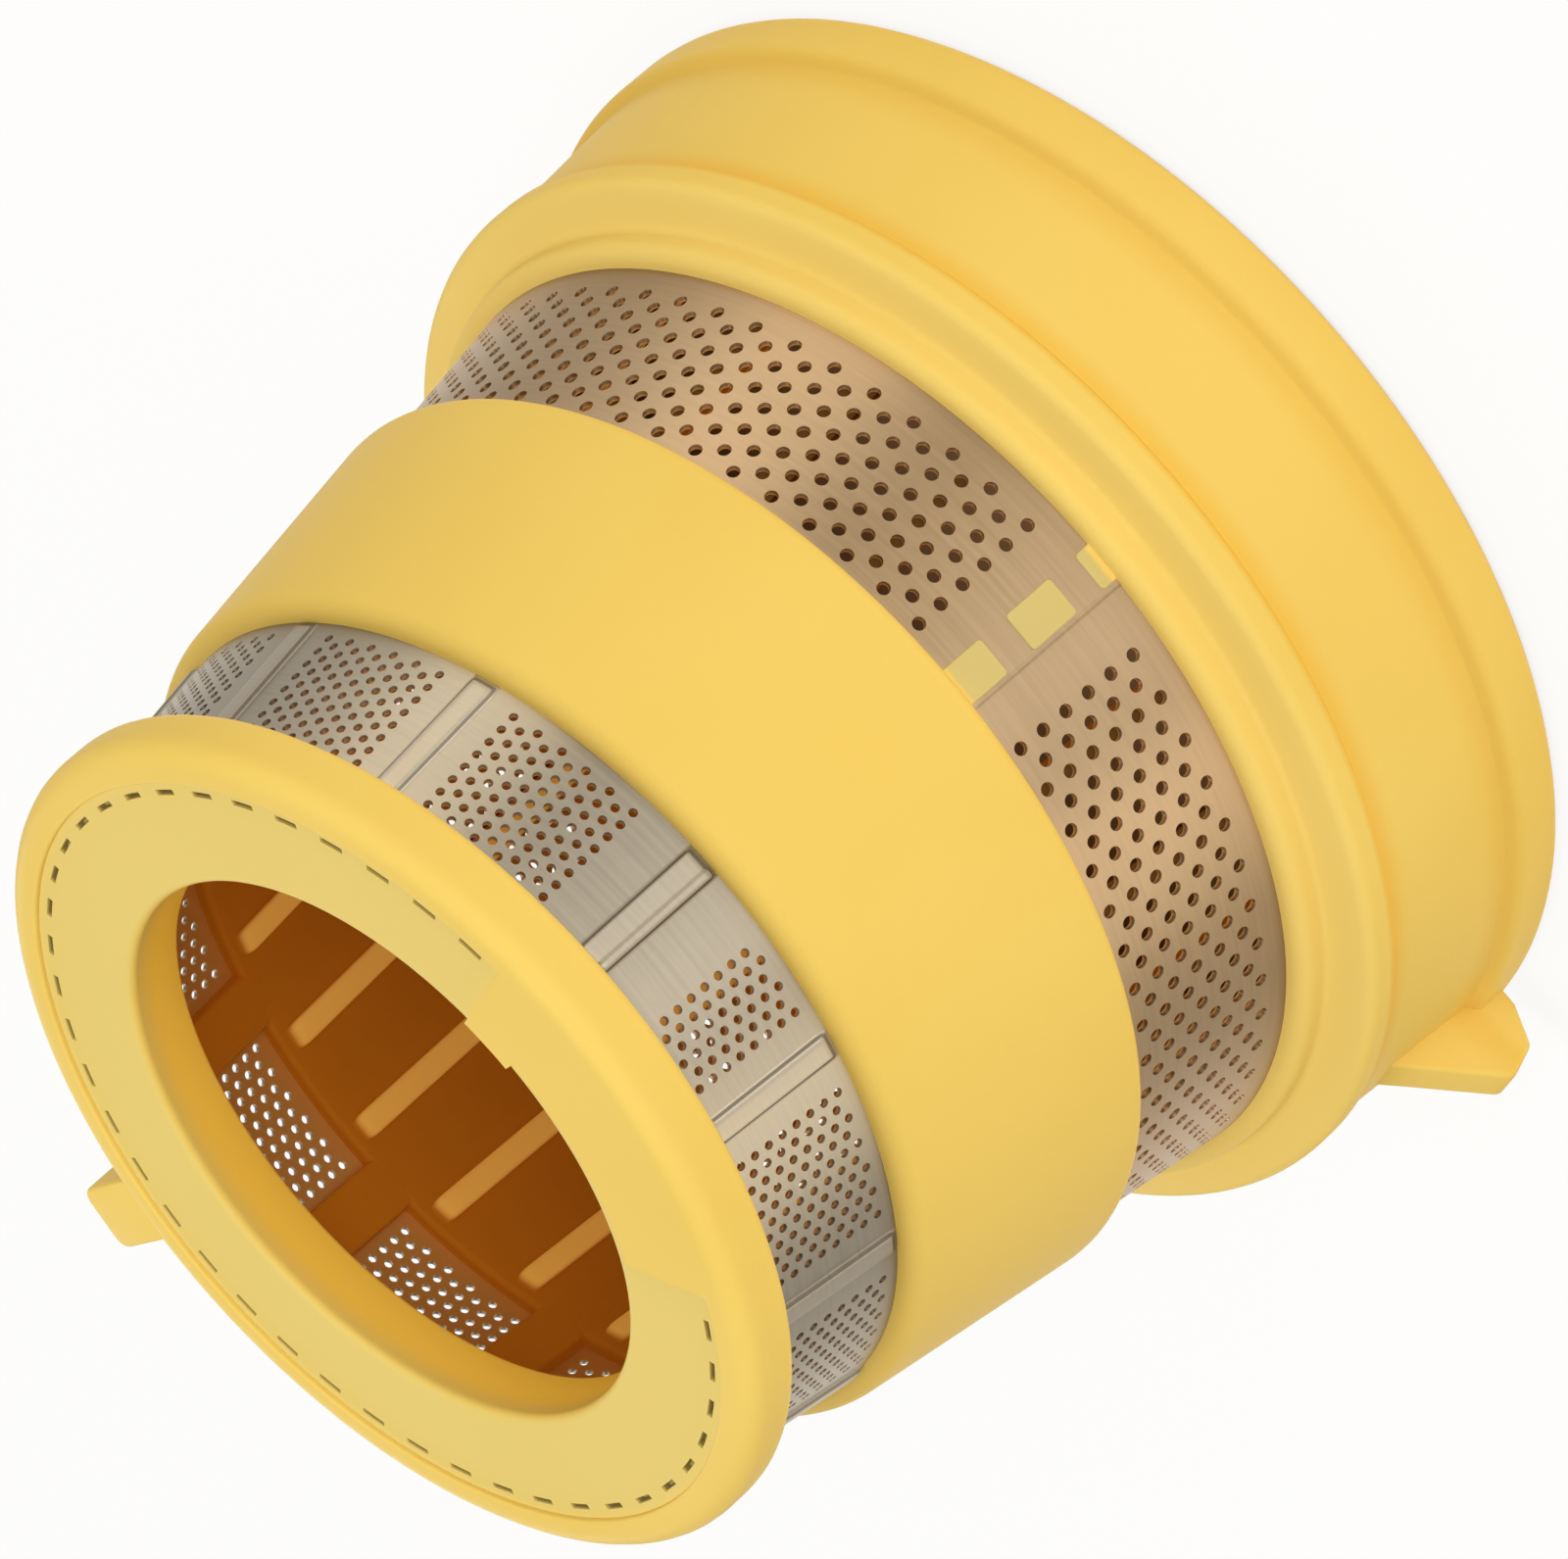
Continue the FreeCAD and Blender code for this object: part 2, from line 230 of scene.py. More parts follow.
def foot_ring():
    """Swept section whose face points rise by the recess's depth on the land and sink in the slots."""
    floor, collar = HEIGHT - RECESS, HOLE_R + HOLE_WALL
    under = floor - WEB
    section = rounded([
        (HOLE_R, floor, 0.8), (RECESS_R, floor, 0), (RECESS_R, HEIGHT, 0.3), (FOOT_R, HEIGHT, 2.2),
        (FOOT_R, FOOT_BOTTOM, 1.9), (FOOT_INNER_R, FOOT_BOTTOM, 0.5), (FOOT_INNER_R, under, 0.5),
        (collar, under, 0.6), (collar, floor - HOLE_DEPTH, 0.5), (HOLE_R, floor - HOLE_DEPTH, 0.5)], ARC)
    slot_out = RECESS_R - SLOT_GAP
    slot_in = slot_out - SLOT_W
    steps = np.array([LAND_R, slot_in, slot_out])[:, None] + np.array([-STEP_MM, STEP_MM])
    lines = np.sort(np.concatenate([steps.ravel(), FACE_LINES]))
    on_floor = np.stack([lines, np.full(len(lines), floor)], -1)
    face_points = ARC + len(lines) + 1 + ARC
    section = filled(np.concatenate([section[:ARC], on_floor, section[ARC:]]), 1.6, face_points - 1)
    face = np.arange(len(section)) < face_points

    pitch = 360 / SLOTS
    centres = SLOT_AT + np.arange(SLOTS) * pitch
    centres = centres[(centres < LAND_FROM - pitch / 2) | (centres > LAND_TO + pitch / 2)]
    half = math.degrees(SLOT_L / 2 / RECESS_R)
    ends = np.array([-half - STEP_DEG, -half + STEP_DEG, half - STEP_DEG, half + STEP_DEG])
    turns = np.array([LAND_FROM, LAND_TO, LAND_TO - TONGUE_DEG])[:, None] + np.array([-STEP_DEG, STEP_DEG])
    angles = np.concatenate([np.arange(0, 360, 1.5), (centres[:, None] + ends).ravel(), turns.ravel()])
    angles = np.unique(np.round(angles % 360, 3))

    a, r, z = angles[:, None], section[:, 0], section[:, 1]
    land = between(a, LAND_FROM, LAND_TO) * np.clip((r - LAND_R) / (2 * STEP_MM) + 0.5, 0, 1)
    raised = np.maximum(land, between(a, LAND_TO - TONGUE_DEG, LAND_TO))
    slot = sum(between(a, c - half, c + half) for c in centres)
    slot = slot * np.interp(r, lines[-4:], [0, 1, 1, 0]) * (np.abs(z - floor) < 0.01)
    top = np.where(r > RECESS_R - 0.01, np.maximum(z, floor + RECESS * land), z + RECESS * raised)
    height = np.where(face, np.minimum(top, HEIGHT) - SLOT_D * slot, z + 0 * a)
    t = np.radians(a)
    points = np.stack([r * np.cos(t), r * np.sin(t), height], -1).reshape(-1, 3)
    return points, grid_faces(len(angles), len(section), True, True)


foot = foot_ring()
print("foot ring faces:", len(foot[1]))

# %% [markdown]
# ## Bars and ribs
# Twelve flat bars behind the fine screen tie the foot to the band. Twenty-four thin ribs run down the inside
# of the band and on behind the coarse screen. An Array modifier could copy one bar round the axis. Here each
# is one small section carried up the cone, and all copies come from one array turned to every angle at once.


# %% Bars and ribs
def uprights(width, depth, low, top, angles, corner, end):
    """Bars on the inside of the cone: a section (across, inwards) with rounded crest corners follows the cone
    from low to top, and its depth falls like a quarter circle over the last stretch at the top."""
    across, inward = rounded([(width / 2, 0, 0), (width / 2, depth, corner), (-width / 2, depth, corner),
                              (-width / 2, 0, 0)], 4).T
    z = np.concatenate([np.linspace(low, top - end, 8), top - end + end * np.sin(np.linspace(0.2, 1.5, 7))])
    fall = np.sqrt(np.clip(1 - (np.maximum(z - top + end, 0) / max(end, 1e-6)) ** 2, 0.02, 1))
    r = cone(z, -SHEET - 0.02)[:, None] - inward * fall[:, None]
    a = np.radians(angles)[:, None, None]
    points = np.stack([r * np.cos(a) - across * np.sin(a), r * np.sin(a) + across * np.cos(a),
                       z[:, None] + 0 * r + 0 * a], -1).reshape(-1, 3)
    size = len(z) * len(across)
    quads = grid_faces(len(z), len(across), wrap_cols=True)
    caps = [list(range(len(across))), list(range(size - len(across), size))]
    faces = [list(q + size * k) for k in range(len(angles)) for q in quads]
    faces += [[i + size * k for i in cap] for k in range(len(angles)) for cap in caps]
    return points, faces


bar_angles = BAR_AT + 360 / BARS * np.arange(BARS)
rib_angles = BAR_AT + 360 / RIBS * (np.arange(RIBS) + 0.5)
bars = uprights(BAR_W, BACKING, BAND_TOP - 1.5, FOOT_BOTTOM + 1.0, bar_angles, 0.3, 0.5)
ribs = uprights(RIB_W, BACKING + RIB_PROUD, RIB_BOTTOM, BAND_TOP - 0.4, rib_angles, 0.5, 2.2)
seam_bar = uprights(SEAM_W, BACKING, RIM_TOP - 1.0, BAND_BOTTOM + 1.0, np.array([SEAM_AT]), 0.3, 0.5)
print("bars and ribs:", len(bar_angles), len(rib_angles))

# %% [markdown]
# ## Lugs and plugs
# The square lug on the foot, the fin on the rim and the plugs in the coarse screen's seam are small slabs
# with softened edges. A Bevel modifier on a block would soften every edge alike. An outline, stacked in layers
# that shrink a little towards both faces, lets each corner have its own radius.


# %% Slabs
def slab(outline, thick, edge, place):
    """Layers of one outline from 0 to thick; within the edge's depth each layer moves in along the outline's
    normals by edge (1 - cos), so both rims are quarter circles. place turns (x, y, h) into the strainer's
    frame."""
    ahead, back = np.roll(outline, -1, axis=0), np.roll(outline, 1, axis=0)
    along = ahead - back
    normal = np.stack([along[:, 1], -along[:, 0]], -1)
    area = np.sum(outline[:, 0] * ahead[:, 1] - ahead[:, 0] * outline[:, 1])
    normal *= np.sign(area) / np.maximum(np.linalg.norm(normal, axis=1), 1e-9)[:, None]
    t = np.linspace(0, math.pi / 2, 4)
    inset = np.concatenate([edge * (1 - np.sin(t)), edge * (1 - np.cos(t))])
    level = np.concatenate([edge * (1 - np.cos(t)), thick - edge + edge * np.sin(t)])
    flat = outline[None] - normal[None] * inset[:, None, None]
    points = place(flat[..., 0], flat[..., 1], level[:, None] + 0 * flat[..., 0]).reshape(-1, 3)
    n, m = len(level), len(outline)
    faces = [list(q) for q in grid_faces(n, m, wrap_cols=True)]
    return points, faces + [list(range(m)), list(range((n - 1) * m, n * m))]


def in_plan(at, low):
    """Outline (out, across) lies flat at height low and is turned to an angle; h goes up."""
    c, s = math.cos(math.radians(at)), math.sin(math.radians(at))
    return lambda x, y, h: np.stack([x * c - y * s, x * s + y * c, low + h], -1)


def on_edge(at, thick):
    """Outline (out, up) stands in the radial plane at an angle; h goes across it, centred."""
    c, s = math.cos(math.radians(at)), math.sin(math.radians(at))
    return lambda x, y, h: np.stack([x * c - (h - thick / 2) * s, x * s + (h - thick / 2) * c, y], -1)


def on_cone(at, z, depth):
    """Outline (across, up) lies on the cone at an angle and height; h goes outwards from depth below it."""
    c, s = math.cos(math.radians(at)), math.sin(math.radians(at))

    def place(x, y, h):
        r = cone(z + y) - depth + h
        return np.stack([r * c - x * s, r * s + x * c, z + y], -1)
    return place


print("slab helpers ready")

# %% Lugs and plugs
half_lug, lug_root, fin_root = FOOT_LUG_W / 2, FOOT_R - 3, WALL_R - 1.0
lug_shape = rounded([(lug_root, -half_lug, 0), (FOOT_LUG_R, -half_lug, 1.2),
                     (FOOT_LUG_R, half_lug, 1.2), (lug_root, half_lug, 0)], 5)
foot_lug = slab(lug_shape, FOOT_LUG_H, 0.45, in_plan(FOOT_LUG_AT, HEIGHT - 0.1 - FOOT_LUG_H))
fin_shape = rounded([(fin_root, 2.0, 0), (RIM_LUG_R - 4.4, 2.4, 0.6), (RIM_LUG_R - 1.0, 4.2, 1.0),
                     (RIM_LUG_R, 7.6, 1.0), (fin_root, 16.4, 0)], 5)
rim_lug = slab(fin_shape, RIM_LUG_W, 0.5, on_edge(RIM_LUG_AT, RIM_LUG_W))
plug_shape = rounded([(-PLUG_W / 2, -PLUG_H / 2, 0.35), (PLUG_W / 2, -PLUG_H / 2, 0.35),
                      (PLUG_W / 2, PLUG_H / 2, 0.35), (-PLUG_W / 2, PLUG_H / 2, 0.35)], 4)
plug_depth = SHEET + 0.6
plugs = [slab(plug_shape, plug_depth + PLUG_PROUD, 0.08, on_cone(SEAM_AT, PLUG_Z + PLUG_PITCH * k, plug_depth))
         for k in range(PLUGS)]
moulding = make_piece("moulded_frame", [rim, band, foot, bars, ribs, seam_bar, foot_lug, rim_lug] + plugs, 40)
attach(moulding, "root")
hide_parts("frame")

# %% [markdown]
# ## Perforated steel
# The screens have some 1,700 holes. Boolean cutters would be slow and leave poor faces, and holes that are
# only painted with Alpha have no thickness. So a screen is a thin cone on a lattice: four lattice steps across
# and four up for every hole. Where a hole is punched, the sixteen quads of its cell give way to a ring of
# sixteen quads between the cell's border and the round edge, on both faces, and a short wall joins the two
# edges. Neighbouring columns are shifted by half a pitch, which is two lattice steps, so all borders share
# their points.

# %% Lattice sheet
AROUND = np.array([(0, 0), (1, 0), (2, 0), (3, 0), (4, 0), (4, 1), (4, 2), (4, 3),
                   (4, 4), (3, 4), (2, 4), (1, 4), (0, 4), (0, 3), (0, 2), (0, 1)])


def punched_sheet(angles, heights, cells, hole_r, lift):
    """Shell of a conical sheet. angles and heights are the lattice lines, cells the lower left lattice
    numbers (column, row) of the holes, lift(angle, z) how far a ridge stands out. A hole's edge point at
    turn t lies at (hole_r cos t) along the circle and (hole_r sin t) up from the cell's middle."""
    nu, nv = len(angles), len(heights)
    aa, zz = np.meshgrid(angles, heights)
    number = np.arange(nu * nv).reshape(nv, nu)
    solid = np.ones((nv - 1, nu), bool)
    inside = np.arange(4)
    solid[(cells[:, 1, None, None] + inside[:, None]), (cells[:, 0, None, None] + inside) % nu] = False
    quads = grid_faces(nv, nu, wrap_cols=True)[solid.ravel()]
    ring = number[cells[:, 1, None] + AROUND[:, 1], (cells[:, 0, None] + AROUND[:, 0]) % nu]
    mid_a = angles[cells[:, 0]] + ((angles[(cells[:, 0] + 4) % nu] - angles[cells[:, 0]]) % 360) / 2
    mid_z = (heights[cells[:, 1]] + heights[cells[:, 1] + 4]) / 2
    turn = np.radians(-135 + 22.5 * np.arange(16))
    edge_z = mid_z[:, None] + hole_r * np.sin(turn)
    edge_a = mid_a[:, None] + np.degrees(hole_r * np.cos(turn) / cone(edge_z))
    all_a = np.concatenate([aa.ravel(), edge_a.ravel()])
    all_z = np.concatenate([zz.ravel(), edge_z.ravel()])
    edge = nu * nv + np.arange(edge_a.size).reshape(edge_a.shape)

    def face_points(offset):
        r, t = cone(all_z, offset) + lift(all_a % 360, all_z), np.radians(all_a)
        return np.stack([r * np.cos(t), r * np.sin(t), all_z], -1)

    def strip(a, b):
        return np.stack([a, np.roll(a, -1, 1), np.roll(b, -1, 1), b], -1).reshape(-1, 4)

    n = len(all_a)
    outer = np.concatenate([quads, strip(ring, edge)])
    ends = np.concatenate([strip(number[:1], number[:1] + n), strip(number[-1:], number[-1:] + n)])
    faces = np.concatenate([outer, outer[:, ::-1] + n, strip(edge, edge + n), ends])
    points = np.concatenate([face_points(0.0), face_points(-SHEET)])
    used, faces = np.unique(faces, return_inverse=True)
    return points[used], faces.reshape(-1, 4)


def bump(x, half, soft):
    """1 within half of the middle, 0 beyond half + soft, with a smooth fall between."""
    t = np.clip((half + soft - np.abs(x)) / soft, 0, 1)
    return t * t * (3 - 2 * t)


print("lattice border of a hole:", len(AROUND), "points")

# %% [markdown]
# ## The fine screen
# It has twelve panels of fine holes between pressed upright ridges that stand in front of the bars, and a
# wider plain strip where the sheet's ends meet. Ridges and seam are lifts of the same lattice, whose lines
# lie close together where the sheet bends.

# %% Ridges of the fine screen
FINE_R, FINE_PITCH, FINE_LOW, FINE_COUNT, FINE_COLUMNS, FINE_MARGIN = 0.38, 1.42, 68.19, 8, 11, 4.8
FINE_MIDDLE, FINE_SEAM_AT, FINE_SEAM_W, FINE_SEAM_BARE = 74.0, 270.2, 3.2, (260.2, 277.2)
RIDGE_EDGE, FADE = 0.7, 0.5
ridge_half = math.degrees(RIDGE_W / 2 / cone(FINE_MIDDLE))
seam_half = math.degrees(FINE_SEAM_W / 2 / cone(FINE_MIDDLE))
ridge_angles = bar_angles[(bar_angles < FINE_SEAM_BARE[0]) | (bar_angles > FINE_SEAM_BARE[1])]


def fine_lift(angle, z):
    """Ridges at the bars and a wider lap with a bead on its left edge at the seam, all 0 where the plastic
    grips."""
    fade = np.clip((z - BAND_TOP - 0.1) / FADE, 0, 1) * np.clip((FOOT_BOTTOM - 0.1 - z) / FADE, 0, 1)
    lift = RIDGE_PROUD * bump(angle - FINE_SEAM_AT, seam_half - RIDGE_EDGE, RIDGE_EDGE)
    lift = lift + 0.15 * bump(angle - FINE_SEAM_AT + seam_half - 0.9, 0.4, 0.5)
    for at in ridge_angles:
        lift = lift + RIDGE_PROUD * bump(angle - at, ridge_half - RIDGE_EDGE, RIDGE_EDGE)
    return fade * lift


print("ridges:", len(ridge_angles))

# %% Fine screen
span = (360 / BARS - 2 * FINE_MARGIN) / FINE_COLUMNS
starts = (bar_angles[:, None] + FINE_MARGIN + span * np.arange(FINE_COLUMNS)).ravel() % 360
odd = np.tile(np.arange(FINE_COLUMNS) % 2, BARS)
punched = (starts + span / 2 < FINE_SEAM_BARE[0]) | (starts + span / 2 > FINE_SEAM_BARE[1])
starts, odd = starts[punched], odd[punched]
near_edge = np.linspace(-RIDGE_EDGE, 0, 5)
ridge_lines = np.concatenate([[-ridge_half - 0.8, -ridge_half - 0.15], -ridge_half - near_edge[::-1],
                              [-0.6, 0, 0.6], ridge_half + near_edge, [ridge_half + 0.15, ridge_half + 0.8]])
seam_lines = np.arange(262.0, 277.0, 0.15)
fine_angles = np.concatenate([(starts[:, None] + span / 4 * np.arange(5)).ravel(),
                              (ridge_angles[:, None] + ridge_lines).ravel(), seam_lines])
fine_angles = np.unique(np.round(fine_angles % 360, 4))
fine_heights = np.concatenate([[BAND_TOP - GRIP, BAND_TOP + 0.1],
                               FINE_LOW + FINE_PITCH / 4 * np.arange(4 * FINE_COUNT + 1),
                               [FOOT_BOTTOM - 0.1, FOOT_BOTTOM + GRIP]])
column, row = np.meshgrid(np.arange(len(starts)), np.arange(FINE_COUNT), indexing="ij")
keep = (odd[column] == 0) | (row < FINE_COUNT - 1)
column, row = column[keep], row[keep]
first_line = np.searchsorted(fine_angles, starts[column] - 0.001)
fine_cells = np.stack([first_line, 2 + 4 * row + 2 * odd[column]], -1)
fine = make_piece("fine_screen_sheet",
                  [punched_sheet(fine_angles, fine_heights, fine_cells, FINE_R, fine_lift)], 40)
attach(fine, "root")
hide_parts("fine_screen")
print("fine holes:", len(fine_cells))

# %% [markdown]
# ## The coarse screen
# Larger holes run all the way round except for a plain strip at the seam, where the plugs come through.
# A low lap line beside the plugs shows where one end of the sheet lies over the other.

# %% Coarse screen
COARSE_R, COARSE_PITCH, COARSE_LOW, COARSE_COUNT, COARSE_COLUMNS = 0.58, 2.45, 27.85, 6, 131
COARSE_BARE = (258.0, 272.4)
LAP_AT, LAP_PROUD = SEAM_AT - 2.75, 0.06


def coarse_lift(angle, z):
    """A low lap line left of the plugs."""
    fade = np.clip((z - RIM_TOP - 0.1) / FADE, 0, 1) * np.clip((BAND_BOTTOM - 0.1 - z) / FADE, 0, 1)
    return fade * LAP_PROUD * bump(angle - LAP_AT, 0.1, 0.25)


coarse_span = (360 - (COARSE_BARE[1] - COARSE_BARE[0])) / COARSE_COLUMNS
plain = np.concatenate([np.linspace(*COARSE_BARE, 16), LAP_AT + np.linspace(-0.4, 0.4, 9)])
plain = np.unique(plain)[:-1]
coarse_angles = COARSE_BARE[1] + coarse_span / 4 * np.arange(4 * COARSE_COLUMNS)
coarse_angles = np.concatenate([plain, coarse_angles]) % 360
coarse_heights = np.concatenate([[RIM_TOP - GRIP],
                                 COARSE_LOW + COARSE_PITCH / 4 * np.arange(4 * COARSE_COUNT + 1),
                                 [BAND_BOTTOM + GRIP]])
column, row = np.meshgrid(np.arange(COARSE_COLUMNS), np.arange(COARSE_COUNT), indexing="ij")
shift = 2 * (column % 2)
keep = (shift == 0) | (row < COARSE_COUNT - 1)
coarse_cells = np.stack([len(plain) + 4 * column[keep], 1 + 4 * row[keep] + shift[keep]], -1)
coarse = make_piece("coarse_screen_sheet",
                    [punched_sheet(coarse_angles, coarse_heights, coarse_cells, COARSE_R, coarse_lift)], 40)
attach(coarse, "root")
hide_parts("coarse_screen")
print("coarse holes:", len(coarse_cells))

# %% [markdown]
# ## Shader arithmetic
# Node trees can be built by hand or by long lists of links, which are hard to read. Here a small class wraps
# a node socket, so that masks can be written as ordinary sums and products. Any other node comes from one
# method: first its settings, then the values or links of its sockets.


# %% Socket class
class Wire:
    """A value in a node tree; + - * and their reflected forms add Math nodes."""

    def __init__(self, tree, socket):
        self.tree, self.socket = tree, socket

    def node(self, kind, settings=None, sockets=None, out=0):
        return add_node(self.tree, kind, settings, sockets, out)

    def maths(self, operation, a, b):
        return self.node("ShaderNodeMath", {"operation": operation}, {0: a, 1: b})

    def __add__(self, other):
        return self.maths("ADD", self, other)

    def __sub__(self, other):
        return self.maths("SUBTRACT", self, other)

    def __rsub__(self, other):
        return self.maths("SUBTRACT", other, self)

    def __mul__(self, other):
        return self.maths("MULTIPLY", self, other)

    __radd__, __rmul__ = __add__, __mul__


def add_node(tree, kind, settings=None, sockets=None, out=0):
    """Adds a node, sets its settings, then fills its sockets with values or links. Gives one output as a
    Wire."""
    node = tree.nodes.new(kind)
    for name, value in (settings or {}).items():
        setattr(node, name, value)
    for key, value in (sockets or {}).items():
        if isinstance(value, Wire):
            tree.links.new(value.socket, node.inputs[key])
        else:
            node.inputs[key].default_value = value
    return Wire(tree, node.outputs[out])


def new_material(name):
    """Empty node material with its Principled shader wired to the output."""
    material = bpy.data.materials.new(name)
    material.use_nodes = True
    tree = material.node_tree
    return material, tree, tree.nodes["Principled BSDF"]


def noise(tree, scale, detail, stretch=(1, 1, 1)):
    """Noise over Object coordinates, about 0.5 in the middle; stretch multiplies the coordinates first, so a
    large number squeezes the noise along that axis."""
    place = add_node(tree, "ShaderNodeTexCoord", out="Object")
    place = add_node(tree, "ShaderNodeMapping", {"vector_type": "POINT"}, {"Vector": place, "Scale": stretch})
    return add_node(tree, "ShaderNodeTexNoise", None, {"Vector": place, "Scale": scale, "Detail": detail})


def blend(tree, factor, a, b):
    """Colour a where the factor is 0, colour b where it is 1."""
    return add_node(tree, "ShaderNodeMix", {"data_type": "RGBA"}, {0: factor, 6: a, 7: b}, out=2)


def step(tree, value, low, high):
    """0 below low, 1 above high, smooth between; both in millimetres."""
    return add_node(tree, "ShaderNodeMapRange", {"interpolation_type": "SMOOTHSTEP"},
                    {"Value": value, "From Min": low * MM, "From Max": high * MM})


def zone(tree, value, low, full, fade, high):
    """0 below low, 1 from full to fade, 0 above high; in millimetres."""
    return step(tree, value, low, full) * (1 - step(tree, value, fade, high))


def object_place(tree):
    """The three Object coordinates as values."""
    place = add_node(tree, "ShaderNodeTexCoord", out="Object")
    split = add_node(tree, "ShaderNodeSeparateXYZ", None, {0: place})
    return [Wire(tree, output) for output in split.socket.node.outputs]


def on_strainer(x, y, z):
    """Distance from the axis, and depth below the cone of the sheets' outer faces."""
    radius = x.maths("SQRT", x * x + y * y, 0.0)
    return radius, CONE_R * MM - TAPER * z - radius


print("shader helpers ready")

# %% [markdown]
# ## Yellow plastic
# The moulding is a warm, slightly milky yellow with a satin skin, and it lets a little light through. Light
# and shade are painted into its colour: thin edges are painted paler as a highlight, creases deeper as shade,
# the hole's wall brighter orange, and the slots dark. The inside, lit only through the walls and the screens,
# is painted dark amber as shade, with rib crests painted lighter and nearly black behind the coarse screen.
# Subsurface scattering could give some of this, but it is slow and an exported model loses it. So masks from
# the height and the distance to the axis set these painted tones apart, and a faint painted glow of the inner
# walls, the ribs and the hole's wall stands for light coming through them. The colour drifts a very little,
# the roughness a little more, and a fine bump stands for the mould's texture. The glow is too weak to light
# other things, so it isn't sampled as a lamp.

# %% Plastic masks
plastic, tree, skin = new_material("yellow_satin_plastic")
cloud = noise(tree, 45.0, 1.0)
grain = noise(tree, 2600.0, 0.0)
x, y, z = object_place(tree)
radius, depth = on_strainer(x, y, z)
window = zone(tree, z, RIM_TOP + 0.3, RIM_TOP + 0.8, BAND_BOTTOM - 0.6, BAND_BOTTOM - 0.1)
plug = step(tree, depth, -0.5, -0.4) * window
inside = step(tree, depth, 0.3, 0.5) * zone(tree, z, 12, 20, FOOT_BOTTOM - 1.5, FOOT_BOTTOM + 0.5)
# Painted shade: behind the coarse screen the plastic is painted nearly black.
shade = window * (1 - step(tree, depth, 0.9, 1.5))
crest = step(tree, depth, 2.1, 2.6)
# Painted light: the hole's wall is painted brighter orange and also given a painted glow.
hole = 1 - step(tree, radius, HOLE_R + 0.3, HOLE_R + 1.2)
hole = hole * (1 - step(tree, z, HEIGHT - 3.5, HEIGHT - 0.6))
recess = HEIGHT - RECESS
face = zone(tree, z, recess - 0.3, recess - 0.1, recess + 0.1, recess + 0.3)
face = face * (1 - step(tree, radius, RECESS_R - 0.1, RECESS_R + 0.1))
# Painted shade: the slots in the foot's face are painted dark.
slot = zone(tree, radius, RECESS_R - 1.7, RECESS_R - 1.5, RECESS_R - 0.7, RECESS_R - 0.5)
slot = slot * zone(tree, z, recess - 1.0, recess - 0.8, recess - 0.3, recess - 0.1)
# Painted highlight: the collar and the mouth's lowest edge are painted paler.
collar = zone(tree, z, BEAD_TOP - 0.9, BEAD_TOP + 0.1, RIM_TOP + 0.2, RIM_TOP + 0.6)
edge = collar + (1 - step(tree, z, 0.3, 1.6))
# Painted shade: the plastic under the bead and over the lip is painted deeper orange.
under_bead = zone(tree, z, BEAD_BOTTOM - 3.0, BEAD_BOTTOM - 0.4, BEAD_BOTTOM, BEAD_BOTTOM + 0.7)
over_lip = zone(tree, z, LIP_H - 0.8, LIP_H + 0.6, LIP_H + 1.0, LIP_H + 4.0)
painted_crease_shade = (under_bead + over_lip * 0.5) * step(tree, radius, MOUTH_R + 0.5, MOUTH_R + 0.9)
print("plastic masks:", len(tree.nodes), "nodes")

# %% Plastic tones
YELLOW, MILKY = (0.825, 0.575, 0.122, 1), (0.875, 0.635, 0.16, 1)
# A painted highlight on thin edges and painted shade in the creases.
EDGE_PAINTED_HIGHLIGHT, CREASE_PAINTED_SHADE = (0.96, 0.72, 0.22, 1), (0.80, 0.45, 0.045, 1)
FOOT_FACE, PLUG_TONE = (0.76, 0.61, 0.20, 1), (0.66, 0.53, 0.20, 1)
# Painted light on the hole's wall and painted shade in the slots.
HOLE_PAINTED_LIGHT, SLOT_PAINTED_SHADE = (0.92, 0.52, 0.04, 1), (0.40, 0.31, 0.11, 1)
# Painted shade for the inside, painted light on the rib crests, and painted shade behind the coarse screen.
INSIDE_PAINTED_SHADE, RIB_PAINTED_LIGHT, SHADED_AMBER = (0.70, 0.23, 0.012, 1), (1.0, 0.58, 0.12, 1), (0.12, 0.05, 0.012, 1)
# Painted glow of the inner walls, the rib crests and the hole's wall.
WALL_GLOW, RIB_GLOW, HOLE_GLOW = (0.033, 0.014, 0.001, 1), (0.21, 0.105, 0.017, 1), (0.15, 0.085, 0.008, 1)
NO_GLOW = (0, 0, 0, 1)
colour = blend(tree, cloud, YELLOW, MILKY)
for mask, tone in ((edge * 0.4, EDGE_PAINTED_HIGHLIGHT), (painted_crease_shade * 0.6, CREASE_PAINTED_SHADE), (face * 0.6, FOOT_FACE),
                   (plug, PLUG_TONE), (hole * 0.7, HOLE_PAINTED_LIGHT), (slot, SLOT_PAINTED_SHADE)):
    colour = blend(tree, mask, colour, tone)
# The inside is painted dark amber as shade, with the rib crests painted lighter as light.
inside_painted_shading = blend(tree, crest, INSIDE_PAINTED_SHADE, RIB_PAINTED_LIGHT)
inside_painted_shading = blend(tree, shade, inside_painted_shading, SHADED_AMBER)
colour = blend(tree, inside, colour, inside_painted_shading)
tree.links.new(colour.socket, skin.inputs["Base Color"])
tree.links.new((0.36 + cloud * 0.12).socket, skin.inputs["Roughness"])
relief = add_node(tree, "ShaderNodeBump", None, {"Strength": 0.05, "Distance": 0.0002, "Height": grain})
tree.links.new(relief.socket, skin.inputs["Normal"])
